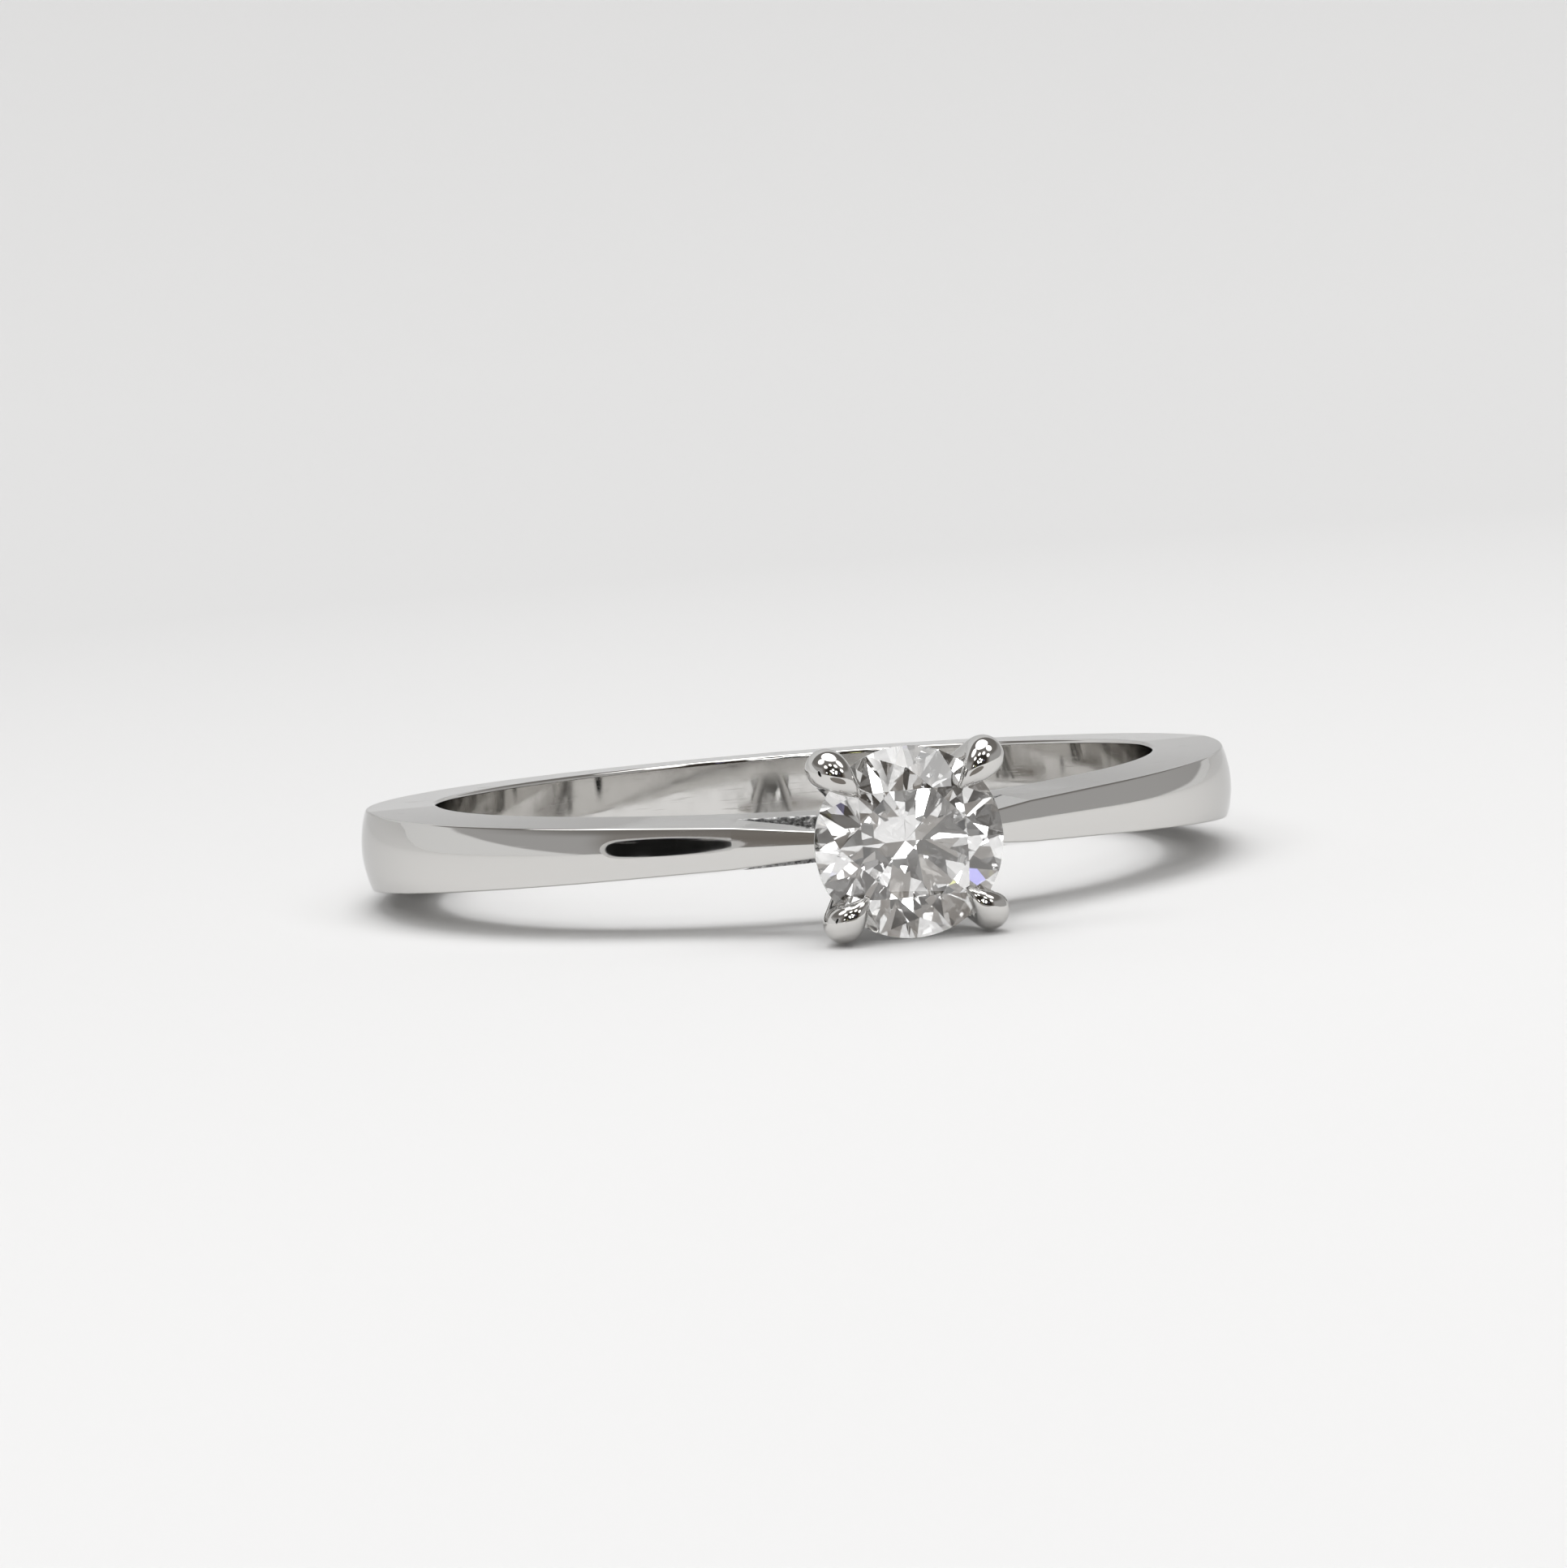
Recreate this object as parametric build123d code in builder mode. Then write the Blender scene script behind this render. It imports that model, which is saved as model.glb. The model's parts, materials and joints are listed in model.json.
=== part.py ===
"""Four-claw round solitaire ring with cathedral shoulders.

Frame: origin at the centre of the finger hole, +Z along the finger, the head towards -Y.
The ring is symmetric about X = 0, and about Z = 0 but for its upper claws, which are a little longer.
Units are millimetres.
"""

from build123d import *
from math import atan2, cos, degrees, hypot, radians, sin, tan
import os

os.makedirs("parts", exist_ok=True)

# ---------------------------------------------------------------- driving dimensions

# Band.  Angles are measured round +Z from the head at -Y, the same on both sides.
bore_radius = 8.35            # UK size M finger hole
rim_radius = 9.97             # where the flat flanks end and the domed outer face starts
dome_slope = 0.184            # dome height over half width, so the dome leaves each edge at 21 degrees
full_half_width = 0.925       # half width of the sides and the back
inner_half_at_head = 0.52     # half width of the inner wall under the head
outer_half_at_head = 0.28     # half width of the outer face, if it ran on to the head
taper_angle = 90.0            # the band narrows from here to the head
taper_power = 0.85            # below 1, so that it narrows fastest beside the head

# Cathedral shoulders and the rail under the head
apex_angle = 18.5             # the wedge-shaped gap closes here, and the shank ends
rail_radius = 9.20            # outer radius of the under-rail
shoulder_tip_x = 1.22         # outer edge of a shoulder where it meets the collet
shoulder_tip_height = 11.22
shoulder_root_x = 0.85        # underside of a shoulder, which runs on to inside the collet's wall
shoulder_root_height = 10.55
shoulder_tip_half = 0.24      # half widths of the shoulder at the head, outer and inner edge
shoulder_root_half = 0.21

# Collet: a small tapered cup on the rail
collet_base_radius = 0.66
collet_top_radius = 1.30
collet_top_height = 11.30
collet_wall = 0.34
collet_floor_height = 9.75

# Stone
girdle_height = 12.50         # distance of the girdle's middle from the finger axis
girdle_radius = 2.02
girdle_half = 0.055
table_ratio = 0.60
facet_turn = 22.5             # turns the stone so that a table edge lies square to the band
crown_angle = 34.5
pavilion_angle = 40.9
star_ratio = 0.50
lower_half_ratio = 0.77

# Claws: the centre line as (distance from the head's axis, height from the finger's axis)
claw_azimuth = 45.0
upper_claw_points = [(0.74, 9.62), (1.66, 11.25), (2.36, 12.52), (2.20, 13.02), (1.52, 12.97)]
lower_claw_points = [(0.74, 9.62), (1.62, 11.25), (2.22, 12.50), (2.08, 12.98), (1.50, 12.97)]
# Half depth and half breadth of a claw at fractions of its length
claw_fractions = [0.0, 0.45, 0.70, 0.83, 1.0]
upper_claw_sizes = [(0.26, 0.27), (0.33, 0.34), (0.42, 0.41), (0.37, 0.39), (0.05, 0.05)]
lower_claw_sizes = [(0.26, 0.27), (0.32, 0.33), (0.39, 0.39), (0.35, 0.37), (0.05, 0.05)]
claw_section_count = 16

# ---------------------------------------------------------------- formulas

# A shoulder's outer edge is the straight line from its tip that touches the rim circle.
tip_distance = hypot(shoulder_tip_x, shoulder_tip_height)
tip_angle = degrees(atan2(shoulder_tip_x, shoulder_tip_height))
tangent_angle = tip_angle + degrees(atan2((tip_distance**2 - rim_radius**2) ** 0.5, rim_radius))

crown_height = girdle_radius * (1 - table_ratio) * tan(radians(crown_angle))
girdle_top = girdle_height + girdle_half
girdle_bottom = girdle_height - girdle_half
table_height = girdle_top + crown_height
culet_height = girdle_bottom - girdle_radius * tan(radians(pavilion_angle))
table_radius = girdle_radius * table_ratio


def outer_radius(angle):
    """Radius of the outer face's edge at an angle from the head."""
    if angle >= tangent_angle:
        return rim_radius
    return rim_radius / cos(radians(tangent_angle - angle))


def tapered(angle, at_head):
    """Half width at an angle from the head, growing up to the full half width."""
    share = min(angle / taper_angle, 1.0) ** taper_power
    return at_head + (full_half_width - at_head) * share


def in_plan(angle, radius):
    """Point of the X-Y plane at an angle from the head and a radius."""
    return Vector(radius * sin(radians(angle)), -radius * cos(radians(angle)))


def band_plane(inner, outer):
    """Plane through two points of the plan: its x runs outwards and its y along the finger."""
    return Plane(origin=inner, x_dir=outer - inner, z_dir=(outer - inner).cross(Vector(0, 0, 1)))


def band_section(inner, outer, inner_half, outer_half):
    """Section of the band between two points of the plan: two flanks and a domed outer face."""
    depth = (outer - inner).length
    with BuildSketch(band_plane(inner, outer)) as section:
        with BuildLine():
            Polyline((depth, -outer_half), (0, -inner_half), (0, inner_half), (depth, outer_half))
            ThreePointArc((depth, outer_half), (depth + dome_slope * outer_half, 0), (depth, -outer_half))
        make_face()
    return section.sketch


def turned(points):
    """Solid of revolution about the head's axis, from (distance, height) points."""
    with BuildPart() as solid:
        with BuildSketch(Plane.XY):
            with BuildLine():
                Polyline([(distance, -height) for distance, height in points], close=True)
            make_face()
        revolve(axis=Axis.Y)
    return solid.part


def on_head(azimuth, distance, height):
    """Point at an azimuth round the head's axis, a distance from it and a height from the finger axis."""
    return Vector(distance * cos(radians(azimuth)), -height, distance * sin(radians(azimuth)))


# ---------------------------------------------------------------- band

cut_radius = bore_radius - 0.2      # the sections start inside the hole, which is cut afterwards
rail_cut_radius = rail_radius + 0.1     # and the rail's run on past its outer face
cutter_height = 4 * full_half_width
section_count = 28
rail_section_count = 6


def flank_half(angle, radius):
    """Half width of the band on its flank, which slopes evenly from the inner wall to the outer face."""
    inner_half = tapered(angle, inner_half_at_head)
    outer_half = tapered(angle, outer_half_at_head)
    share = (radius - bore_radius) / (outer_radius(angle) - bore_radius)
    return inner_half + (outer_half - inner_half) * share


def spread(first, last, count):
    """Evenly spaced values from first to last."""
    return [first + (last - first) * index / count for index in range(count + 1)]


with BuildPart() as shank:
    for angle in spread(apex_angle, 360 - apex_angle, section_count):
        side = min(angle, 360 - angle)
        edge_radius = outer_radius(side)
        add(band_section(in_plan(angle, cut_radius), in_plan(angle, edge_radius),
                         flank_half(side, cut_radius), flank_half(side, edge_radius)))
    loft()
    Cylinder(bore_radius, cutter_height, mode=Mode.SUBTRACT)
shank.part.label = "shank"

# The under-rail carries the finger hole's wall on under the head.
with BuildPart() as bridge:
    for angle in spread(-apex_angle, apex_angle, rail_section_count):
        inner_half = flank_half(abs(angle), cut_radius)
        outer_half = flank_half(abs(angle), rail_radius)
        depth = rail_cut_radius - cut_radius
        with BuildSketch(band_plane(in_plan(angle, cut_radius), in_plan(angle, rail_radius))):
            with BuildLine():
                Polyline((0, -inner_half), (depth, -outer_half), (depth, outer_half), (0, inner_half),
                         close=True)
            make_face()
    loft()
    Cylinder(rail_radius, cutter_height, mode=Mode.INTERSECT)
    Cylinder(bore_radius, cutter_height, mode=Mode.SUBTRACT)
bridge.part.label = "bridge"

# ---------------------------------------------------------------- collet

collet_slope = (collet_top_radius - collet_base_radius) / (collet_top_height - rail_radius)
collet_foot_height = bore_radius
collet_foot_radius = collet_base_radius - collet_slope * (rail_radius - collet_foot_height)
collet_floor_radius = collet_base_radius + collet_slope * (collet_floor_height - rail_radius) - collet_wall
collet_rim_radius = collet_top_radius - collet_wall

# The collet's outside as a solid cone, which the claws and shoulders are cut to.
collet_cone = turned([
    (0, collet_foot_height),
    (collet_foot_radius, collet_foot_height),
    (collet_top_radius, collet_top_height),
    (0, collet_top_height),
])

with BuildPart() as collet:
    add(turned([
        (0, collet_foot_height),
        (collet_foot_radius, collet_foot_height),
        (collet_top_radius, collet_top_height),
        (collet_rim_radius, collet_top_height),
        (collet_floor_radius, collet_floor_height),
        (0, collet_floor_height),
    ]))
    Cylinder(rail_radius, cutter_height, mode=Mode.SUBTRACT)
collet.part.label = "collet"

# ---------------------------------------------------------------- shoulders

apex_outer_radius = outer_radius(apex_angle)

with BuildPart() as right_shoulder:
    rail_point = in_plan(apex_angle, rail_radius)
    edge_point = in_plan(apex_angle, apex_outer_radius)
    add(band_section(rail_point, edge_point, flank_half(apex_angle, rail_radius),
                     flank_half(apex_angle, apex_outer_radius)))
    root_point = Vector(shoulder_root_x, -shoulder_root_height)
    tip_point = Vector(shoulder_tip_x, -shoulder_tip_height)
    add(band_section(root_point, tip_point, shoulder_root_half, shoulder_tip_half))
    loft()
    add(collet_cone, mode=Mode.SUBTRACT)
right_shoulder.part.label = "right_shoulder"

with BuildPart() as left_shoulder:
    add(right_shoulder.part.mirror(Plane.YZ))
left_shoulder.part.label = "left_shoulder"

# ---------------------------------------------------------------- stone

facet_count = 8
facet_step = 360 / facet_count
table_flat_radius = table_radius * cos(radians(facet_step / 2))
star_tip_radius = table_flat_radius + star_ratio * (girdle_radius - table_flat_radius)
star_tip_drop = (girdle_radius - star_tip_radius * cos(radians(facet_step / 2))) * tan(radians(crown_angle))
star_tip_height = girdle_top + star_tip_drop
lower_tip_radius = girdle_radius * (1 - lower_half_ratio)
lower_tip_rise = lower_tip_radius * cos(radians(facet_step / 2)) * tan(radians(pavilion_angle))
lower_tip_height = culet_height + lower_tip_rise
stone_centre = on_head(0, 0, girdle_height)


def facet_plane(first, second, third):
    """Plane through three points of the stone with its normal pointing out of the stone."""
    normal = (second - first).cross(third - first)
    if normal.dot(first - stone_centre) < 0:
        normal = normal * -1
    return Plane(origin=first, z_dir=normal)


def facets_at(azimuth):
    """The planes of the facets that lie within half a step of one main facet's azimuth."""
    beside = facet_step / 2
    planes = []
    table_corner = on_head(azimuth, table_radius, table_height)
    next_corner = on_head(azimuth + facet_step, table_radius, table_height)
    star_tip = on_head(azimuth + beside, star_tip_radius, star_tip_height)
    crown_girdle = on_head(azimuth, girdle_radius, girdle_top)
    pavilion_girdle = on_head(azimuth, girdle_radius, girdle_bottom)
    main_left = on_head(azimuth - beside, star_tip_radius, star_tip_height)
    planes.append(facet_plane(crown_girdle, star_tip, main_left))
    planes.append(facet_plane(table_corner, next_corner, star_tip))
    culet = on_head(0, 0, culet_height)
    lower_right = on_head(azimuth + beside, lower_tip_radius, lower_tip_height)
    lower_left = on_head(azimuth - beside, lower_tip_radius, lower_tip_height)
    planes.append(facet_plane(culet, lower_right, lower_left))
    for side in (-beside, beside):
        upper_tip = on_head(azimuth + side, star_tip_radius, star_tip_height)
        upper_girdle = on_head(azimuth + side, girdle_radius, girdle_top)
        planes.append(facet_plane(crown_girdle, upper_girdle, upper_tip))
        lower_tip = on_head(azimuth + side, lower_tip_radius, lower_tip_height)
        lower_girdle = on_head(azimuth + side, girdle_radius, girdle_bottom)
        planes.append(facet_plane(pavilion_girdle, lower_girdle, lower_tip))
    return planes


# The stone's outline as a solid of revolution: the claws' seats are cut to it.
stone_envelope = turned([
    (0, culet_height),
    (girdle_radius, girdle_bottom),
    (girdle_radius, girdle_top),
    (table_radius, table_height),
    (0, table_height),
])

with BuildPart() as diamond:
    add(turned([
        (0, culet_height),
        (girdle_radius, culet_height),
        (girdle_radius, table_height),
        (0, table_height),
    ]))
    for index in range(facet_count):
        for plane in facets_at(facet_turn + index * facet_step):
            split(bisect_by=plane, keep=Keep.BOTTOM)
diamond.part.label = "diamond"

# ---------------------------------------------------------------- claws



def half_sizes(sizes, fraction):
    """Half depth and half breadth of a claw at a fraction of its length."""
    ends = zip(claw_fractions, claw_fractions[1:], sizes, sizes[1:])
    for start, end, (depth_a, breadth_a), (depth_b, breadth_b) in ends:
        if fraction <= end:
            share = (fraction - start) / (end - start)
            return depth_a + (depth_b - depth_a) * share, breadth_a + (breadth_b - breadth_a) * share


def claw_solid(azimuth, points, sizes):
    """Talon claw at an azimuth round the head's axis, cut to the stone and to the collet's outside."""
    line = Spline([on_head(azimuth, distance, height) for distance, height in points])
    sideways = on_head(azimuth + 90, 1, 0)
    with BuildPart() as claw:
        for fraction in spread(0.0, 1.0, claw_section_count):
            along = line % fraction
            with BuildSketch(Plane(origin=line @ fraction, x_dir=along.cross(sideways), z_dir=along)):
                Ellipse(*half_sizes(sizes, fraction))
        loft()
        add(stone_envelope, mode=Mode.SUBTRACT)
        add(collet_cone, mode=Mode.SUBTRACT)
    return claw.part


upper_claw = claw_solid(claw_azimuth, upper_claw_points, upper_claw_sizes)
lower_claw = claw_solid(-claw_azimuth, lower_claw_points, lower_claw_sizes)

claws = {
    "claw_upper_right": upper_claw,
    "claw_upper_left": upper_claw.mirror(Plane.YZ),
    "claw_lower_right": lower_claw,
    "claw_lower_left": lower_claw.mirror(Plane.YZ),
}

# ---------------------------------------------------------------- files

for piece in (shank, bridge, left_shoulder, right_shoulder, collet, diamond):
    export_step(piece.part, f"parts/{piece.part.label}.step")
for name, solid in claws.items():
    solid.label = name
    export_step(solid, f"parts/{name}.step")
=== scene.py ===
"""Looks of the four-claw solitaire ring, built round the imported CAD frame.

Lengths are in millimetres until they are given to Blender, which takes metres. Angles are in degrees
but for the stone's crown and pavilion and the camera's roll.
The head points towards -Y and the finger runs along Z, as in the CAD part.
"""

import json
from math import acos, atan2, cos, degrees, hypot, radians, sin, tan

import bmesh
import bpy
from mathutils import Matrix, Vector


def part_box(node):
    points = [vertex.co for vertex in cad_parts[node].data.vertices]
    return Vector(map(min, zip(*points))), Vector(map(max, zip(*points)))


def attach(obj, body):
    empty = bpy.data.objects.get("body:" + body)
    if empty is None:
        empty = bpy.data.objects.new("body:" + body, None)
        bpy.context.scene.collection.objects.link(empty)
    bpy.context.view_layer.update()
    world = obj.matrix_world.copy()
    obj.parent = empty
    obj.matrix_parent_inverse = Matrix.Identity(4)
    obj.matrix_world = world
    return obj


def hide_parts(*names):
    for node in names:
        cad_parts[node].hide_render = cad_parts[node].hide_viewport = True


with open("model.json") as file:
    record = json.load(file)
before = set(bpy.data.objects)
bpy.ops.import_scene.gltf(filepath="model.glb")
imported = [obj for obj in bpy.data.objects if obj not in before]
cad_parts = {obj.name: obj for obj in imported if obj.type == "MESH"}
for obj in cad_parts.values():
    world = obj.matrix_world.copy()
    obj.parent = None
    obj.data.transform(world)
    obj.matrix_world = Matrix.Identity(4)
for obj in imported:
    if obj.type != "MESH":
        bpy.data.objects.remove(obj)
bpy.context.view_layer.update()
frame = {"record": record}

MM = 0.001

# ---------------------------------------------------------------- sizes read from the frame

BORE = next(m for m in frame["record"]["mounts"] if m["name"] == "finger_bore")
SHANK_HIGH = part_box("shank")[1]
STONE_LOW, STONE_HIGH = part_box("diamond")
COLLET_LOW, COLLET_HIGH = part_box("collet")
BRIDGE_LOW, BRIDGE_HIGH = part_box("bridge")

bore_radius = BORE["dims"]["r_mm"]
dome_slope = 0.184                      # dome height over half width
full_half_width = SHANK_HIGH.z / MM
rim_radius = SHANK_HIGH.y / MM - dome_slope * full_half_width
rail_radius = -BRIDGE_LOW.y / MM
apex_angle = degrees(atan2(BRIDGE_HIGH.x / MM, (rail_radius**2 - (BRIDGE_HIGH.x / MM) ** 2) ** 0.5))

inner_half_at_head = 0.52
outer_half_at_head = 0.28
taper_angle = 90.0
taper_power = 0.85
shoulder_tip = (1.22, 11.22)            # (x, height from the finger axis)
shoulder_root = (0.85, 10.55)
shoulder_tip_half = 0.24
shoulder_root_half = 0.21

collet_top_radius = COLLET_HIGH.x / MM
collet_top_height = -COLLET_LOW.y / MM
collet_base_radius = 0.66
collet_wall = 0.34
collet_floor_height = 9.75

girdle_radius = STONE_HIGH.x / MM
table_height = -STONE_LOW.y / MM
culet_height = -STONE_HIGH.y / MM
table_ratio = 0.60
facet_turn = 22.5
crown_angle = radians(34.5)
pavilion_angle = radians(40.9)
star_ratio = 0.50
lower_half_ratio = 0.77
table_radius = girdle_radius * table_ratio
girdle_top = table_height - girdle_radius * (1 - table_ratio) * tan(crown_angle)
girdle_bottom = culet_height + girdle_radius * tan(pavilion_angle)

# ---------------------------------------------------------------- formulas shared by the band's pieces

tip_distance = hypot(*shoulder_tip)
tangent_angle = degrees(atan2(*shoulder_tip)) + degrees(acos(rim_radius / tip_distance))


def outer_radius(angle):
    """Radius of the outer face's edge at an angle from the head, in degrees."""
    if angle >= tangent_angle:
        return rim_radius
    return rim_radius / cos(radians(tangent_angle - angle))


def tapered(angle, at_head):
    """Half width that grows from its value under the head to the full width at the taper's end."""
    return at_head + (full_half_width - at_head) * min(angle / taper_angle, 1.0) ** taper_power


def flank_half(angle, radius):
    """Half width of the band on its sloping flank."""
    share = (radius - bore_radius) / (outer_radius(angle) - bore_radius)
    inner_half = tapered(angle, inner_half_at_head)
    return inner_half + (tapered(angle, outer_half_at_head) - inner_half) * share


def in_plan(angle, radius):
    """Point in the band's middle plane, at an angle from the head."""
    return Vector((radius * sin(radians(angle)), -radius * cos(radians(angle)), 0.0))


def on_head(azimuth, distance, height):
    """Point at an azimuth (degrees) round the head's axis, a distance from it and a height."""
    turn = radians(azimuth)
    return Vector((distance * cos(turn), -height, distance * sin(turn)))


def spread(first, last, count):
    """The numbers from first to last in count equal steps, both ends included."""
    return [first + (last - first) * index / count for index in range(count + 1)]


def mix(first, last, share):
    return first + (last - first) * share


# ---------------------------------------------------------------- mesh helpers

EDGE_STEPS = 4          # steps round a softened edge of the band
LIP_STEPS = 5           # steps round a softened lip of the collet
HOLD = 1.5              # how far out the points beside a rounded corner lie, as a share of its reach
DOME_STEPS = 16
DOME_SHARE = 0.82       # share of the dome's turn that its own points cover, between the rounded edges
SMOOTH_SIDES = 4        # faces with more sides than this are flat ends


def rounded(corners, radii, steps):
    """Closed outline with its corners rounded. A corner of radius 0 stays a point.

    Each rounded corner also gets a point a little way along both sides, which keeps the flats flat.
    """
    outline = []
    count = len(corners)
    for index, (corner, radius) in enumerate(zip(corners, radii)):
        if radius == 0:
            outline.append(corner)
            continue
        before = (corners[index - 1] - corner).normalized()
        after = (corners[(index + 1) % count] - corner).normalized()
        half_turn = before.angle(after) / 2
        reach = radius / tan(half_turn)
        centre = corner + (before + after).normalized() * (radius / sin(half_turn))
        start = corner + before * reach - centre
        end = corner + after * reach - centre
        sweep = start.angle(end)
        outline.append(corner + before * reach * HOLD)
        for step in range(steps + 1):
            share = step / steps
            arm = start * sin((1 - share) * sweep) + end * sin(share * sweep)
            outline.append(centre + arm / sin(sweep))
        outline.append(corner + after * reach * HOLD)
    return outline


def band_outline(depth, inner_half, outer_half, inner_round, rim_round, dome=dome_slope):
    """Section of the band as (outwards, along the finger) points."""
    rise = dome * outer_half
    corners = [Vector((0, inner_half)), Vector((0, -inner_half)), Vector((depth, -outer_half))]
    radii = [inner_round, inner_round, rim_round]
    if dome:
        dome_radius = (outer_half**2 + rise**2) / (2 * rise)
        edge_turn = atan2(outer_half, dome_radius - rise)
        for share in spread(-DOME_SHARE, DOME_SHARE, DOME_STEPS):
            turn = edge_turn * share
            corners.append(Vector((depth + rise - dome_radius * (1 - cos(turn)), dome_radius * sin(turn))))
            radii.append(0)
    corners.append(Vector((depth, outer_half)))
    radii.append(rim_round)
    return rounded(corners, radii, EDGE_STEPS)


def skin(rings, closed=False):
    """Vertices and quads through rings of equal length; open ends get a cap."""
    size = len(rings[0])
    vertices = [point for ring in rings for point in ring]
    faces = []
    rows = len(rings) if closed else len(rings) - 1
    for row in range(rows):
        following = (row + 1) % len(rings)
        for column in range(size):
            beside = (column + 1) % size
            faces.append((row * size + column, row * size + beside,
                          following * size + beside, following * size + column))
    if not closed:
        faces.append(tuple(range(size))[::-1])
        faces.append(tuple((len(rings) - 1) * size + column for column in range(size)))
    return vertices, faces


def new_piece(name, vertices, faces, materials, replaced, smooth=True):
    """Mesh object in metres from millimetre points, riding on the ring and standing for a CAD node."""
    mesh = bpy.data.meshes.new(name)
    mesh.from_pydata([tuple(point * MM) for point in vertices], [], faces)
    build = bmesh.new()
    build.from_mesh(mesh)
    bmesh.ops.recalc_face_normals(build, faces=build.faces)
    for face in build.faces:
        if len(face.verts) > SMOOTH_SIDES:
            for edge in face.edges:
                edge.smooth = False
    build.to_mesh(mesh)
    build.free()
    for polygon in mesh.polygons:
        polygon.use_smooth = smooth and len(polygon.vertices) == SMOOTH_SIDES
    for material in materials:
        mesh.materials.append(material)
    piece = bpy.data.objects.new(name, mesh)
    bpy.context.scene.collection.objects.link(piece)
    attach(piece, "root")
    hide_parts(replaced)
    return piece


def swept(stations):
    """Rings of a band piece from (inner point, outer point, outline) stations."""
    rings = []
    for inner, outer, outline in stations:
        outwards = (outer - inner).normalized()
        rings.append([inner + outwards * point.x + Vector((0, 0, point.y)) for point in outline])
    return rings


# ---------------------------------------------------------------- materials

DIAMOND_INDEX = 2.417


def shader_tree(name):
    """New node material, with its tree and its main shader."""
    material = bpy.data.materials.new(name)
    material.use_nodes = True
    tree = material.node_tree
    return material, tree, tree.nodes["Principled BSDF"]


def noise(tree, scale, detail, stretch=(1, 1, 1), rough=0.55):
    """Noise in the part's own millimetres, stretched along the axes."""
    where = tree.nodes.new("ShaderNodeTexCoord")
    place = tree.nodes.new("ShaderNodeMapping")
    place.inputs["Scale"].default_value = [value / MM for value in stretch]
    field = tree.nodes.new("ShaderNodeTexNoise")
    field.inputs["Scale"].default_value = scale
    field.inputs["Detail"].default_value = detail
    field.inputs["Roughness"].default_value = rough
    tree.links.new(where.outputs["Object"], place.inputs["Vector"])
    tree.links.new(place.outputs["Vector"], field.inputs["Vector"])
    return field.outputs["Fac"]


def mapped(tree, source, low, high, to_low, to_high):
    """Carries the range low to high over to another range, and holds its ends."""
    node = tree.nodes.new("ShaderNodeMapRange")
    node.inputs["From Min"].default_value = low
    node.inputs["From Max"].default_value = high
    node.inputs["To Min"].default_value = to_low
    node.inputs["To Max"].default_value = to_high
    tree.links.new(source, node.inputs["Value"])
    return node.outputs["Result"]


def bumped(tree, shader, height, distance_mm, strength):
    """Lets a height field bump a material's surface."""
    bump = tree.nodes.new("ShaderNodeBump")
    bump.inputs["Strength"].default_value = strength
    bump.inputs["Distance"].default_value = distance_mm * MM
    tree.links.new(height, bump.inputs["Height"])
    tree.links.new(bump.outputs["Normal"], shader.inputs["Normal"])


def polished_metal():
    """Mirror-polished platinum: faint buffing waves, hairline wear and patches a little less bright."""
    material, tree, shader = shader_tree("polished_platinum")
    shader.inputs["Metallic"].default_value = 1.0
    shader.inputs["Base Color"].default_value = (0.70, 0.69, 0.672, 1)
    shader.inputs["Specular Tint"].default_value = (0.75, 0.75, 0.75, 1)
    wear = mapped(tree, noise(tree, 1.3, 4.0), 0.35, 0.70, 0.025, 0.085)
    hairlines = mapped(tree, noise(tree, 2.0, 5.0, stretch=(0.5, 0.5, 12.0)), 0.60, 0.72, 0.0, 0.12)
    total = tree.nodes.new("ShaderNodeMath")
    tree.links.new(wear, total.inputs[0])
    tree.links.new(hairlines, total.inputs[1])
    tree.links.new(total.outputs[0], shader.inputs["Roughness"])
    waves = noise(tree, 0.9, 1.0)
    bumped(tree, shader, waves, 0.004, 0.35)
    return material


def unpolished_metal_with_painted_shade():
    """The inside of the gaps, where no buffing wheel reaches: dull, with a fine cast grain that glints, and
    a dark colour that is painted shade in the gaps.
    """
    material, tree, shader = shader_tree("unpolished_platinum_with_painted_shade")
    shader.inputs["Metallic"].default_value = 1.0
    grain = noise(tree, 9.0, 5.0)
    # dark speckled base colour: partly cast grain, partly painted shade in the gap's recess
    dull_and_painted_shade = mapped(tree, grain, 0.42, 0.64, 0.12, 0.62)
    tree.links.new(dull_and_painted_shade, shader.inputs["Base Color"])
    tree.links.new(mapped(tree, grain, 0.3, 0.7, 0.50, 0.20), shader.inputs["Roughness"])
    bumped(tree, shader, grain, 0.05, 0.8)
    return material


def diamond_material():
    """Clear, colourless stone with sharp mirror-flat facets."""
    material, _, shader = shader_tree("diamond_facets")
    shader.inputs["Base Color"].default_value = (0.985, 0.985, 0.98, 1)
    shader.inputs["Transmission Weight"].default_value = 1.0
    shader.inputs["IOR"].default_value = DIAMOND_INDEX
    shader.inputs["Roughness"].default_value = 0.0
    return material


def girdle_material():
    """The stone's bruted edge, frosted and finely grained."""
    material, tree, shader = shader_tree("diamond_girdle")
    shader.inputs["Base Color"].default_value = (0.95, 0.95, 0.94, 1)
    shader.inputs["Transmission Weight"].default_value = 1.0
    shader.inputs["IOR"].default_value = DIAMOND_INDEX
    grain = noise(tree, 14.0, 4.0)
    tree.links.new(mapped(tree, grain, 0.3, 0.7, 0.25, 0.5), shader.inputs["Roughness"])
    bumped(tree, shader, grain, 0.01, 0.5)
    return material


METAL = polished_metal()
SHADED_CAST = unpolished_metal_with_painted_shade()
FACETS = diamond_material()
GIRDLE = girdle_material()

# ---------------------------------------------------------------- band

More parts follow.
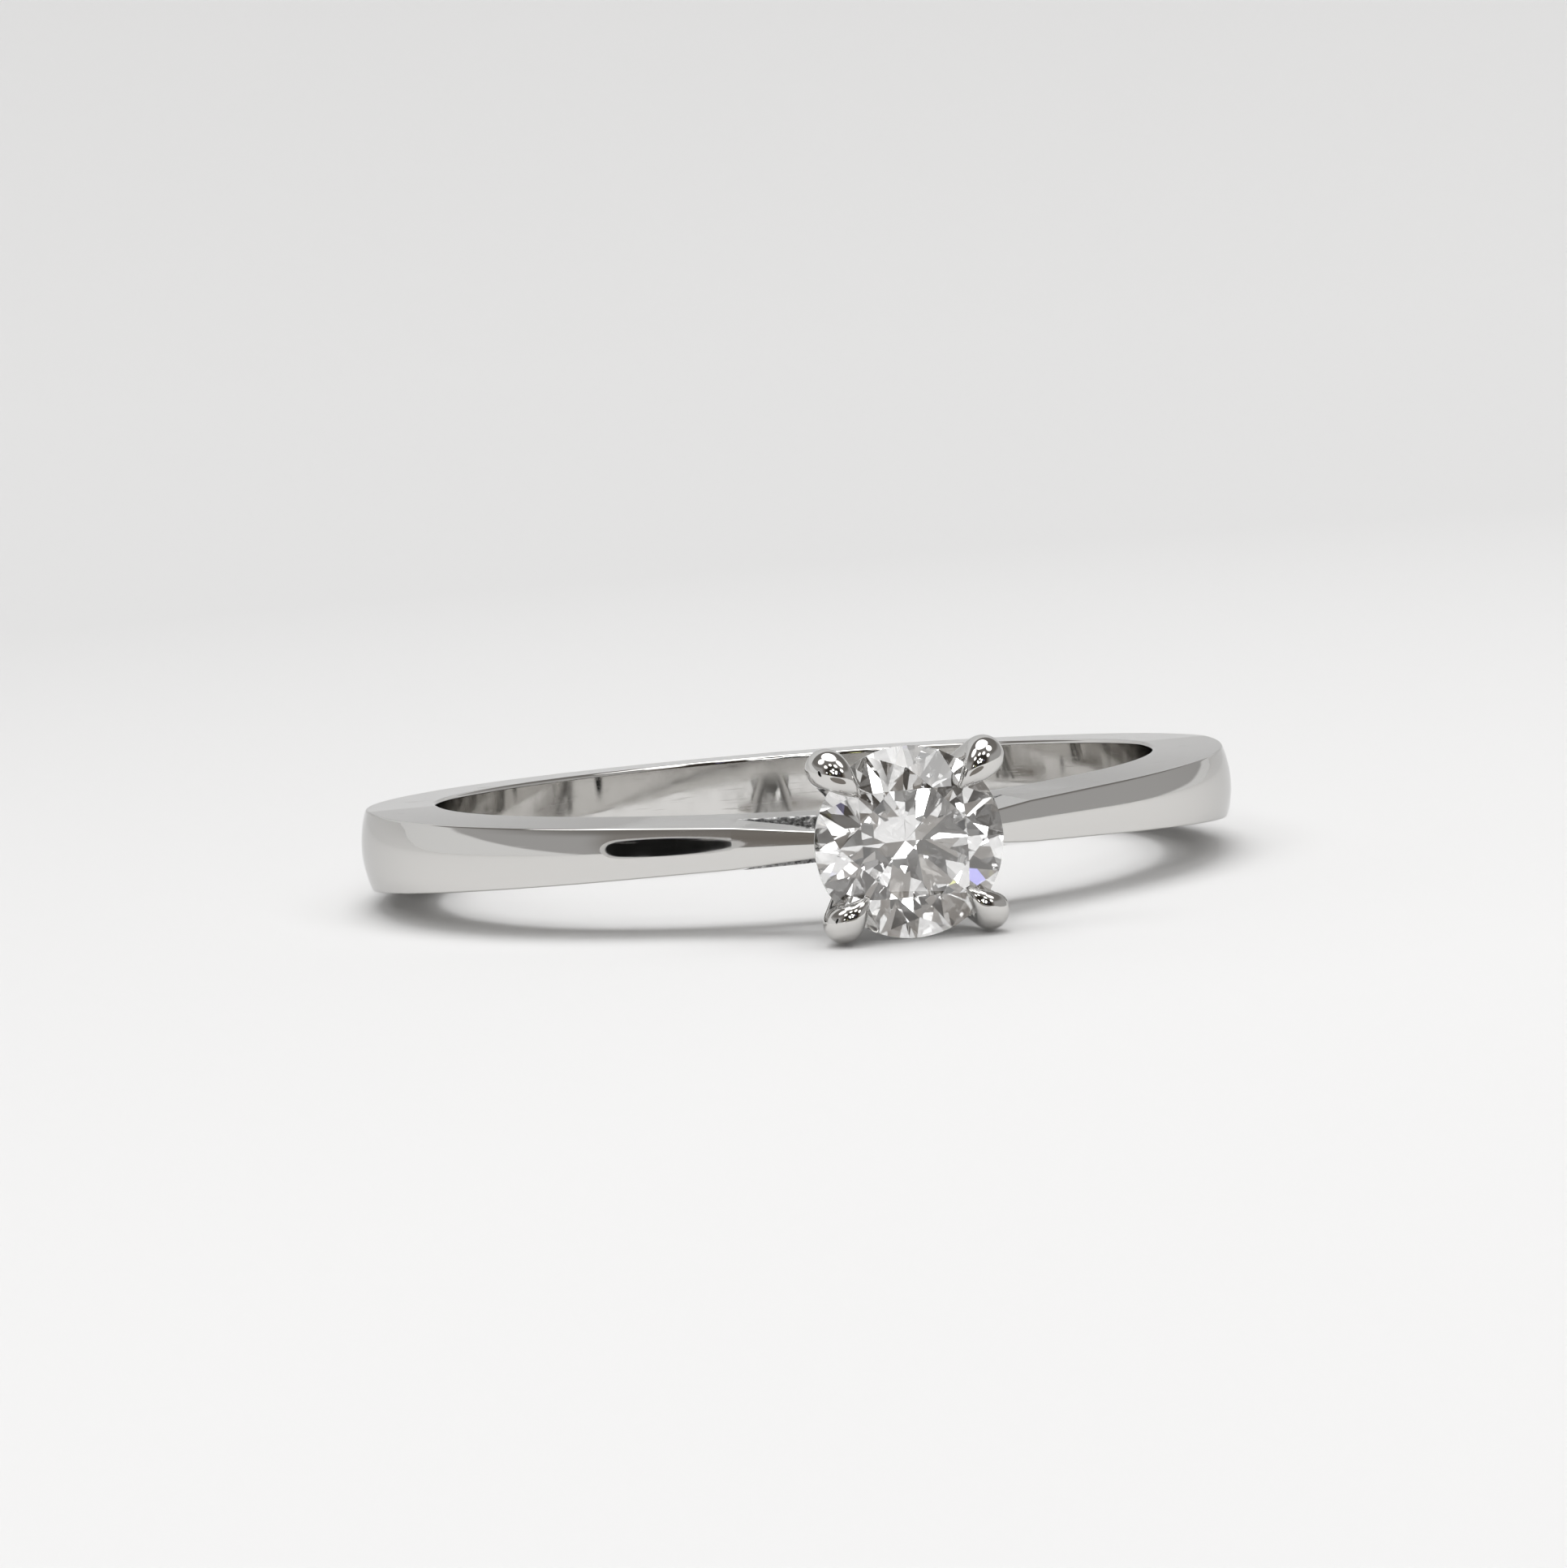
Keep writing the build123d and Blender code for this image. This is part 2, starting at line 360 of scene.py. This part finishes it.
edge_round = 0.045          # how far the polishing wheel has softened an edge
hole_round = 0.07
BAND_STATIONS = 322
BRIDGE_STATIONS = 40
SHOULDER_STATIONS = 36
SHADED_CAST_SLOT = 1               # the unpolished metal's place among a piece's materials; that metal is darkened with painted shade
UNDERSIDE_MATCH = 0.9       # how well a face lines up with a shoulder's underside to be part of it


def band_station(angle):
    """The band's section at an angle from the head, between its inner and outer points."""
    side = min(angle % 360, -angle % 360)
    edge = outer_radius(side)
    outline = band_outline(edge - bore_radius, flank_half(side, bore_radius), flank_half(side, edge),
                           hole_round, edge_round)
    return in_plan(angle, bore_radius), in_plan(angle, edge), outline


def make_shank():
    """The main band, from one end of the gap round the back to the other."""
    stations = [band_station(angle) for angle in spread(apex_angle, 360 - apex_angle, BAND_STATIONS)]
    vertices, faces = skin(swept(stations))
    new_piece("band", vertices, faces, [METAL], "shank")


def make_bridge():
    """The low rail that carries the bore across under the head; its top is left unpolished and darkened
    with painted shade.
    """
    skin_depth = 0.02
    stations = []
    for angle in spread(-apex_angle, apex_angle, BRIDGE_STATIONS):
        inner_half = flank_half(abs(angle), bore_radius)
        outer_half = flank_half(abs(angle), rail_radius)
        outline = band_outline(rail_radius - bore_radius, inner_half, outer_half, hole_round, edge_round, 0)
        stations.append((in_plan(angle, bore_radius), in_plan(angle, rail_radius), outline))
    vertices, faces = skin(swept(stations))
    piece = new_piece("under_rail", vertices, faces, [METAL, SHADED_CAST], "bridge")
    # the rail's top, inside the gap, gets the unpolished metal darkened with painted shade
    for polygon in piece.data.polygons:
        radius = hypot(polygon.center.x, polygon.center.y) / MM
        if radius > rail_radius - skin_depth:
            polygon.material_index = SHADED_CAST_SLOT


def make_shoulder(side, name, node):
    """A ramp from the band's end face up into the collet's wall; side is +1 for +X."""
    edge = outer_radius(apex_angle)
    rail = in_plan(side * apex_angle, rail_radius)
    rim = in_plan(side * apex_angle, edge)
    root = Vector((side * shoulder_root[0], -shoulder_root[1], 0))
    tip = Vector((side * shoulder_tip[0], -shoulder_tip[1], 0))
    stations = []
    for share in spread(0, 1, SHOULDER_STATIONS):
        inner = rail.lerp(root, share)
        outer = rim.lerp(tip, share)
        inner_half = mix(flank_half(apex_angle, rail_radius), shoulder_root_half, share)
        outer_half = mix(flank_half(apex_angle, edge), shoulder_tip_half, share)
        outline = band_outline((outer - inner).length, inner_half, outer_half, edge_round, edge_round)
        stations.append((inner, outer, outline))
    vertices, faces = skin(swept(stations))
    piece = new_piece(name, vertices, faces, [METAL, SHADED_CAST], node)
    # the underside over the gap gets the unpolished metal, darkened with painted shade
    underside = (rail - root).normalized().cross(Vector((0, 0, 1)))
    for polygon in piece.data.polygons:
        if abs(polygon.normal.dot(underside)) > UNDERSIDE_MATCH and polygon.normal.y > 0:
            polygon.material_index = SHADED_CAST_SLOT


# ---------------------------------------------------------------- head

COLLET_SIDES = 96
STONE_SIDES = 192
FACET_COUNT = 8
CUT_TOLERANCE = 1e-6
MERGE_DISTANCE = 0.0005     # corners closer than this are one corner
MERGE_ANGLE = 0.05          # degrees; flatter edges between facets are dissolved
GIRDLE_SLOT = 1
GIRDLE_TILT = 0.05          # faces whose normals lean less than this along the axis are the girdle


def make_collet():
    """Tapered cup with softened lips, turned about the head's axis."""
    axis_gap = 0.001                # keeps the innermost points apart on the axis
    lip_round = 0.06
    floor_round = 0.12
    slope = (collet_top_radius - collet_base_radius) / (collet_top_height - rail_radius)
    foot_depth = 0.12               # how far the foot reaches into the rail
    foot_height = rail_radius - foot_depth
    foot_radius = collet_base_radius - slope * foot_depth
    floor_radius = collet_base_radius + slope * (collet_floor_height - rail_radius) - collet_wall
    corners = [
        Vector((axis_gap, foot_height)),
        Vector((foot_radius, foot_height)),
        Vector((collet_top_radius, collet_top_height)),
        Vector((collet_top_radius - collet_wall, collet_top_height)),
        Vector((floor_radius, collet_floor_height)),
        Vector((axis_gap, collet_floor_height)),
    ]
    outline = rounded(corners, [0, 0, lip_round, lip_round, floor_round, 0], LIP_STEPS)
    rings = [[on_head(turn, point.x, point.y) for point in outline]
             for turn in spread(0, 360, COLLET_SIDES)[:-1]]
    vertices, faces = skin(rings, closed=True)
    new_piece("head_collet", vertices, faces, [METAL], "collet")


def facet_plane(first, second, third):
    """Point and outward normal of the plane through three points of the stone."""
    normal = (second - first).cross(third - first).normalized()
    centre = on_head(0, 0, (girdle_top + girdle_bottom) / 2)
    if normal.dot(first - centre) < 0:
        normal = -normal
    return first, normal


def facet_planes():
    """Every facet of a round brilliant but its table: the mains, stars, pavilion mains and halves."""
    step = 360 / FACET_COUNT
    beside = step / 2
    inward = cos(radians(beside))
    flat_radius = table_radius * inward
    star_radius = flat_radius + star_ratio * (girdle_radius - flat_radius)
    star_height = girdle_top + (girdle_radius - star_radius * inward) * tan(crown_angle)
    lower_radius = girdle_radius * (1 - lower_half_ratio)
    lower_height = culet_height + lower_radius * inward * tan(pavilion_angle)
    culet = on_head(0, 0, culet_height)
    planes = []
    for index in range(FACET_COUNT):
        azimuth = facet_turn + index * step
        crown_point = on_head(azimuth, girdle_radius, girdle_top)
        pavilion_point = on_head(azimuth, girdle_radius, girdle_bottom)
        tips = [on_head(azimuth + side, star_radius, star_height) for side in (-beside, beside)]
        lowers = [on_head(azimuth + side, lower_radius, lower_height) for side in (-beside, beside)]
        planes.append(facet_plane(crown_point, *tips))
        planes.append(facet_plane(culet, *lowers))
        corners = [on_head(turn, table_radius, table_height) for turn in (azimuth, azimuth + step)]
        planes.append(facet_plane(*corners, tips[1]))
        for side, tip, lower in zip((-beside, beside), tips, lowers):
            crown_side = on_head(azimuth + side, girdle_radius, girdle_top)
            pavilion_side = on_head(azimuth + side, girdle_radius, girdle_bottom)
            planes.append(facet_plane(crown_point, crown_side, tip))
            planes.append(facet_plane(pavilion_point, pavilion_side, lower))
    return planes


def make_diamond():
    """The stone is a cylinder of the girdle's size with every facet's plane cut off it."""
    build = bmesh.new()
    rings = [[on_head(turn, girdle_radius, height) for turn in spread(0, 360, STONE_SIDES)[:-1]]
             for height in (culet_height, table_height)]
    vertices, faces = skin(rings)
    made = [build.verts.new(point) for point in vertices]
    for face in faces:
        build.faces.new([made[index] for index in face])
    bmesh.ops.recalc_face_normals(build, faces=build.faces)
    for point, normal in facet_planes():
        geometry = build.verts[:] + build.edges[:] + build.faces[:]
        cut = bmesh.ops.bisect_plane(build, geom=geometry, plane_co=point, plane_no=normal,
                                     clear_outer=True, dist=CUT_TOLERANCE)
        edges = [item for item in cut["geom_cut"] if isinstance(item, bmesh.types.BMEdge)]
        if edges:
            bmesh.ops.contextual_create(build, geom=edges)
    bmesh.ops.remove_doubles(build, verts=build.verts, dist=MERGE_DISTANCE)
    bmesh.ops.dissolve_limit(build, angle_limit=radians(MERGE_ANGLE), verts=build.verts, edges=build.edges)
    build.verts.index_update()
    vertices = [vertex.co.copy() for vertex in build.verts]
    faces = [tuple(vertex.index for vertex in face.verts) for face in build.faces]
    build.free()
    piece = new_piece("round_brilliant", vertices, faces, [FACETS, GIRDLE], "diamond",
                      smooth=False)
    for polygon in piece.data.polygons:
        if abs(polygon.normal.y) < GIRDLE_TILT:
            polygon.material_index = GIRDLE_SLOT
            polygon.use_smooth = True


CLAW_STATIONS = 96
CLAW_SIDES = 48
# A claw's centre line as (distance from the head's axis, height), with its (half depth, half breadth)
UPPER_CLAW = {
    "points": [(0.52, 9.24), (1.20, 10.42), (1.66, 11.25), (2.10, 12.00), (2.36, 12.52), (2.36, 12.86),
               (2.16, 13.04), (1.84, 13.04), (1.52, 12.97)],
    "sizes": [(0.16, 0.18), (0.29, 0.29), (0.32, 0.33), (0.37, 0.38), (0.42, 0.42), (0.40, 0.42),
              (0.34, 0.36), (0.24, 0.23), (0.05, 0.05)],
}
LOWER_CLAW = {
    "points": [(0.52, 9.24), (1.18, 10.42), (1.62, 11.25), (2.00, 12.00), (2.22, 12.50), (2.22, 12.82),
               (2.05, 13.00), (1.78, 13.02), (1.50, 12.97)],
    "sizes": [(0.16, 0.18), (0.29, 0.29), (0.32, 0.33), (0.36, 0.37), (0.39, 0.40), (0.38, 0.40),
              (0.32, 0.34), (0.22, 0.21), (0.05, 0.05)],
}


def smooth_curve(points, share):
    """Catmull-Rom curve through points of any dimension, at a share of its whole run."""
    last = len(points) - 1
    place = min(share * last, last - 1e-9)
    index = int(place)
    part = place - index
    p1, p2 = points[index], points[index + 1]
    p0 = points[index - 1] if index else p1 * 2 - p2
    p3 = points[index + 2] if index + 2 <= last else p2 * 2 - p1
    return 0.5 * (p1 * 2 + (p2 - p0) * part + (p0 * 2 - p1 * 5 + p2 * 4 - p3) * part**2
                  + (p1 * 3 - p0 - p2 * 3 + p3) * part**3)


def seat_outline():
    """The stone's outline of revolution, as (distance, height) points from culet to table."""
    return [Vector((0, culet_height)), Vector((girdle_radius, girdle_bottom)),
            Vector((girdle_radius, girdle_top)), Vector((table_radius, table_height))]


def seated(distance, height):
    """Moves a point that lies inside the stone to the nearest place on the stone's outline."""
    point = Vector((distance, height))
    outline = seat_outline()
    feet = []
    for start, end in zip(outline, outline[1:]):
        along = (end - start).normalized()
        outwards = Vector((along.y, -along.x))
        if (point - start).dot(outwards) > 0:
            return point
        run = min(max((point - start).dot(along), 0), (end - start).length)
        feet.append(start + along * run)
    return min(feet, key=lambda foot: (point - foot).length)


def make_claw(azimuth, shape, name, node):
    """Talon claw: a round stem, a full heel over the girdle and a tip drawn out on to the crown."""
    centres = [Vector(point) for point in shape["points"]]
    sizes = [Vector(size) for size in shape["sizes"]]
    rings = []
    near = 0.01                     # share of the run either side that gives the direction
    for share in spread(0, 1, CLAW_STATIONS):
        centre = smooth_curve(centres, share)
        ahead = smooth_curve(centres, min(share + near, 1))
        along = (ahead - smooth_curve(centres, max(share - near, 0))).normalized()
        outwards = Vector((along.y, -along.x))
        half_depth, half_breadth = smooth_curve(sizes, share)
        ring = []
        for turn in spread(0, 360, CLAW_SIDES)[:-1]:
            place = centre + outwards * (half_depth * cos(radians(turn)))
            across = half_breadth * sin(radians(turn))
            distance, height = seated(place.x, place.y)
            base = on_head(azimuth, distance, height)
            ring.append(base + on_head(azimuth + 90, across, 0))
        rings.append(ring)
    vertices, faces = skin(rings)
    new_piece(name, vertices, faces, [METAL], node)


make_shank()
make_bridge()
for side, hand in ((1, "right"), (-1, "left")):
    make_shoulder(side, f"cathedral_{hand}", f"{hand}_shoulder")
make_collet()
make_diamond()
for azimuth, shape, corner in ((45, UPPER_CLAW, "upper_right"), (135, UPPER_CLAW, "upper_left"),
                               (225, LOWER_CLAW, "lower_left"), (315, LOWER_CLAW, "lower_right")):
    make_claw(azimuth, shape, f"talon_{corner}", f"claw_{corner}")

# ---------------------------------------------------------------- floor

rest_gap = 0.01             # clearance that keeps the floor off the stone's edge
rest_front = Vector((0, -girdle_top, STONE_LOW.z / MM - rest_gap))
rest_back = Vector((0, rim_radius, -full_half_width))
floor_slope = atan2(rest_back.z - rest_front.z, rest_back.y - rest_front.y)


def make_floor():
    """Pale seamless sweep that the ring lies on: flat underneath, curving up far behind."""
    half_breadth, front, bend = 900, -900, 500
    sweep_radius, sweep_turn, sweep_steps, strips = 700, 45, 18, 8
    profile = [(front, 0), (bend, 0)]
    for turn in spread(0, sweep_turn, sweep_steps)[1:]:
        profile.append((bend + sweep_radius * sin(radians(turn)), sweep_radius * (1 - cos(radians(turn)))))
    tilt = Matrix.Rotation(floor_slope, 3, "X")
    vertices = []
    for x in spread(-half_breadth, half_breadth, strips):
        for y, z in profile:
            vertices.append((rest_front + tilt @ Vector((x, y, z))) * MM)
    size = len(profile)
    faces = [(row * size + i, (row + 1) * size + i, (row + 1) * size + i + 1, row * size + i + 1)
             for row in range(strips) for i in range(size - 1)]
    mesh = bpy.data.meshes.new("studio_floor")
    mesh.from_pydata([tuple(vertex) for vertex in vertices], [], faces)
    for polygon in mesh.polygons:
        polygon.use_smooth = True
    floor = bpy.data.objects.new("studio_floor", mesh)
    bpy.context.scene.collection.objects.link(floor)
    material, tree, shader = shader_tree("pale_floor_with_painted_light_pool")
    # painted pool of light: the floor's colour is a shade darker with distance from a place in front of the
    # ring
    painted_light_pool_centre = (0.02, -0.06, 0)
    where = tree.nodes.new("ShaderNodeTexCoord")
    away = tree.nodes.new("ShaderNodeVectorMath")
    away.operation = "DISTANCE"
    away.inputs[1].default_value = painted_light_pool_centre
    tree.links.new(where.outputs["Object"], away.inputs[0])
    tree.links.new(mapped(tree, away.outputs["Value"], 0.04, 0.17, 0.80, 0.67), shader.inputs["Base Color"])
    shader.inputs["Roughness"].default_value = 1.0
    shader.inputs["Specular IOR Level"].default_value = 0.0
    mesh.materials.append(material)


make_floor()

# ---------------------------------------------------------------- light

CAMERA_AZIMUTH = -10.48     # from the head's axis, negative to -X
CAMERA_ELEVATION = 3.38


def world_direction(azimuth, elevation):
    """Unit vector towards an azimuth from -Y (positive to +X) and an elevation, in degrees."""
    turn, lift = radians(azimuth), radians(elevation)
    return Vector((sin(turn) * cos(lift), -cos(turn) * cos(lift), sin(lift)))


class Sky:
    """A studio painted on the world by direction: each colour is laid over those before it."""

    def __init__(self):
        world = bpy.data.worlds.new("studio")
        bpy.context.scene.world = world
        world.use_nodes = True
        self.tree = world.node_tree
        self.tree.nodes.clear()
        place = self.tree.nodes.new("ShaderNodeTexCoord")
        self.direction = place.outputs["Generated"]
        self.colour = None

    def math(self, operation, first, second):
        node = self.tree.nodes.new("ShaderNodeMath")
        node.operation = operation
        for socket, value in zip(node.inputs, (first, second)):
            if isinstance(value, (int, float)):
                socket.default_value = value
            else:
                self.tree.links.new(value, socket)
        return node.outputs[0]

    def towards(self, vector):
        node = self.tree.nodes.new("ShaderNodeVectorMath")
        node.operation = "DOT_PRODUCT"
        self.tree.links.new(self.direction, node.inputs[0])
        node.inputs[1].default_value = vector
        return node.outputs["Value"]

    def ramp(self, value, low, high):
        node = self.tree.nodes.new("ShaderNodeMapRange")
        node.interpolation_type = "SMOOTHSTEP"
        node.inputs["From Min"].default_value = low
        node.inputs["From Max"].default_value = high
        self.tree.links.new(value, node.inputs["Value"])
        return node.outputs["Result"]

    def lay(self, mask, colour):
        """Paints a colour over what is there, where the mask is 1."""
        node = self.tree.nodes.new("ShaderNodeMix")
        node.data_type = "RGBA"
        self.tree.links.new(mask, node.inputs["Factor"])
        if self.colour is None:
            node.inputs["A"].default_value = (0, 0, 0, 1)
        else:
            self.tree.links.new(self.colour, node.inputs["A"])
        for socket in node.inputs:
            if socket.name == "B" and socket.type == "RGBA":
                socket.default_value = (*colour, 1)
        self.colour = next(socket for socket in node.outputs if socket.type == "RGBA")

    def patch(self, azimuth, elevation, radius, edge, colour, squash=1.0):
        """Soft ellipse: radius degrees wide each way and radius * squash high."""
        centre = world_direction(azimuth, elevation)
        side = world_direction(azimuth + 90, 0)
        up = side.cross(centre) * -1
        across = self.math("DIVIDE", self.towards(side), sin(radians(radius)))
        along = self.math("DIVIDE", self.towards(up), sin(radians(radius * squash)))
        ahead = self.towards(centre)
        reach = self.math("SQRT", self.math("ADD", self.math("MULTIPLY", across, across),
                                            self.math("MULTIPLY", along, along)), 0)
        inside = self.ramp(reach, 1 + edge, 1 - edge)
        front = self.math("GREATER_THAN", ahead, 0)
        self.lay(self.math("MULTIPLY", inside, front), colour)

    def finish(self):
        """Shows what has been painted."""
        background = self.tree.nodes.new("ShaderNodeBackground")
        background.inputs["Strength"].default_value = 1.0
        output = self.tree.nodes.new("ShaderNodeOutputWorld")
        self.tree.links.new(self.colour, background.inputs["Color"])
        self.tree.links.new(background.outputs[0], output.inputs[0])


def grey(value, warmth=0.0):
    """Grey of a brightness, warmer with more red and less blue."""
    return (value * (1 + warmth), value, value * (1 - warmth))


SURROUNDINGS = grey(0.80)
ROOM = grey(0.42, 0.01)
CEILING = grey(0.19, 0.05)
BACKDROP = grey(0.76)
ROOM_MIDDLE = 6
ROOM_BACK = (-0.70, -0.62)          # where the room fades out behind the ring
ROOM_RIMS = ((-161, 25), (187, 10))     # (azimuth, climb) of the pale surroundings' rising edge
RIM_FADE = (-0.01, 0.02)
CEILING_FADE = (0.33, 0.52)

# Lights as (azimuth, elevation, radius, softness of the edge, colour), angles in degrees
SOFTBOXES = [
    (180, 84, 24, 0.12, grey(3.6)),
    (-88, 52, 13, 0.12, grey(2.2)),
    (62, 54, 13, 0.12, grey(2.2)),
    (-48, 36, 7, 0.08, grey(3.0)),
    (-22, 51, 6, 0.08, grey(3.0)),
    (12, 48, 7, 0.08, grey(3.0)),
    (36, 30, 7, 0.08, grey(3.0)),
    (-45, 9, 3, 0.08, grey(3.0)),
]
# Two faintly tinted lights, which the stone breaks up into its fire
GLINTS = [
    (14, 16, 1.6, 0.1, (0.62, 0.60, 1.2)),
    (-32, 4, 2.0, 0.1, (1.1, 1.12, 0.55)),
]
LAMPS = ((-23, 21), (-11, 29), (1, 22), (-17, 14), (-4, 14))
LAMP_RADIUS, LAMP_EDGE, LAMP_COLOUR = 3.6, 0.2, grey(8.0)


def make_light():
    """Pale surroundings, a dim room in front of the ring, softboxes overhead and lamps by the camera."""
    sky = Sky()
    height = sky.towards((0, 0, 1))
    everywhere = sky.math("GREATER_THAN", height, -2)
    sky.lay(everywhere, SURROUNDINGS)
    # the room in front and at both sides, above pale surroundings that climb towards the back
    room = sky.ramp(sky.towards(world_direction(ROOM_MIDDLE, 0)), *ROOM_BACK)
    for back_azimuth, climb in ROOM_RIMS:
        rim = Vector((0, 0, cos(radians(climb)))) - world_direction(back_azimuth, 0) * sin(radians(climb))
        room = sky.math("MULTIPLY", room, sky.ramp(sky.towards(rim), *RIM_FADE))
    sky.lay(room, ROOM)
    sky.lay(sky.math("MULTIPLY", room, sky.ramp(height, *CEILING_FADE)), CEILING)
    # darker and browner straight ahead
    sky.patch(CAMERA_AZIMUTH, 14, 50, 0.10, grey(0.18, 0.10), squash=0.9)
    sky.patch(CAMERA_AZIMUTH, 14, 40, 0.12, grey(0.035, 0.16), squash=0.9)
    for patch in SOFTBOXES + GLINTS:
        sky.patch(*patch)
    # the camera, with a small cluster of lamps over it
    sky.patch(CAMERA_AZIMUTH, 5, 9, 0.1, grey(0.015))
    for azimuth, elevation in LAMPS:
        sky.patch(azimuth, elevation, LAMP_RADIUS, LAMP_EDGE, LAMP_COLOUR)
    # the camera itself sees a plain pale backdrop beyond the floor
    rays = sky.tree.nodes.new("ShaderNodeLightPath")
    sky.lay(rays.outputs["Is Camera Ray"], BACKDROP)
    sky.finish()


CARD_SIDES = 64


def make_flag(name, outline, tone):
    """A card that the camera does not see: only the polished metal and the stone mirror it."""
    mesh = bpy.data.meshes.new(name)
    mesh.from_pydata([tuple(point * MM) for point in outline], [], [tuple(range(len(outline)))])
    flag = bpy.data.objects.new(name, mesh)
    bpy.context.scene.collection.objects.link(flag)
    material, _, shader = shader_tree(name)
    shader.inputs["Base Color"].default_value = (*tone, 1)
    shader.inputs["Roughness"].default_value = 1.0
    shader.inputs["Specular IOR Level"].default_value = 0.0
    mesh.materials.append(material)
    flag.visible_camera = False
    flag.visible_diffuse = False
    flag.visible_shadow = False


def ellipse(centre, across, upright):
    """Outline round a centre from its two half axes."""
    return [centre + across * cos(radians(turn)) + upright * sin(radians(turn))
            for turn in spread(0, 360, CARD_SIDES)[:-1]]


def make_flags():
    """A black, white-edged flag that the left shoulder mirrors, and a grey card lying on the floor before
    the stone, a painted shadow that the metal mirrors and the stone shows.
    """
    shoulder_angle, flag_azimuth, flag_elevation, flag_distance = -27, -58.5, 5.0, 12.0
    flag_across, flag_upright, edge_across, edge_upright, edge_gap = 1.75, 3.1, 2.15, 3.65, 0.1
    facing = world_direction(flag_azimuth, flag_elevation)
    side = world_direction(flag_azimuth + 90, 0)
    upright = facing.cross(side)
    centre = in_plan(shoulder_angle, outer_radius(-shoulder_angle)) + facing * flag_distance
    make_flag("black_flag", ellipse(centre, side * flag_across, upright * flag_upright), grey(0.012))
    behind = centre + facing * edge_gap
    make_flag("white_rim", ellipse(behind, side * edge_across, upright * edge_upright), grey(0.90))
    # the grey card is a painted shadow on the floor before the stone, seen only in the metal and through
    # the stone
    card_distance, card_lift, card_across, card_along = 24.0, 0.1, 10.0, 19.0
    ahead = world_direction(CAMERA_AZIMUTH, 0)
    downhill = Vector((ahead.x, ahead.y, -sin(floor_slope)))
    centre = rest_front + downhill * card_distance + Vector((0, 0, card_lift))
    across = world_direction(CAMERA_AZIMUTH + 90, 0)
    make_flag("painted_shadow_card", ellipse(centre, across * card_across, downhill * card_along), grey(0.20, 0.08))


make_flags()
make_light()

# ---------------------------------------------------------------- camera


def make_camera():
    """Low three-quarter view from the head's left, a little above the ring and rolled with its tilt."""
    distance_mm, azimuth, elevation, roll = 120.0, CAMERA_AZIMUTH, CAMERA_ELEVATION, radians(-4.62)
    aim_right_mm, aim_up_mm = -0.303, 0.668
    data = bpy.data.cameras.new("camera")
    data.sensor_width = 36.0
    data.lens = 118.2
    data.clip_start = 0.005
    data.clip_end = 10.0
    camera = bpy.data.objects.new("camera", data)
    bpy.context.scene.collection.objects.link(camera)
    back = world_direction(azimuth, elevation)
    right = Vector((0, 0, 1)).cross(back).normalized()
    up = back.cross(right)
    tilted_right = right * cos(roll) + up * sin(roll)
    tilted_up = up * cos(roll) - right * sin(roll)
    rotation = Matrix((tilted_right, tilted_up, back)).transposed()
    aim = tilted_right * aim_right_mm + tilted_up * aim_up_mm
    camera.matrix_world = Matrix.Translation((back * distance_mm + aim) * MM) @ rotation.to_4x4()
    bpy.context.scene.camera = camera


make_camera()
scene = bpy.context.scene
scene.view_settings.view_transform = "Standard"
scene.cycles.max_bounces = 32
scene.cycles.transmission_bounces = 32
scene.cycles.glossy_bounces = 12
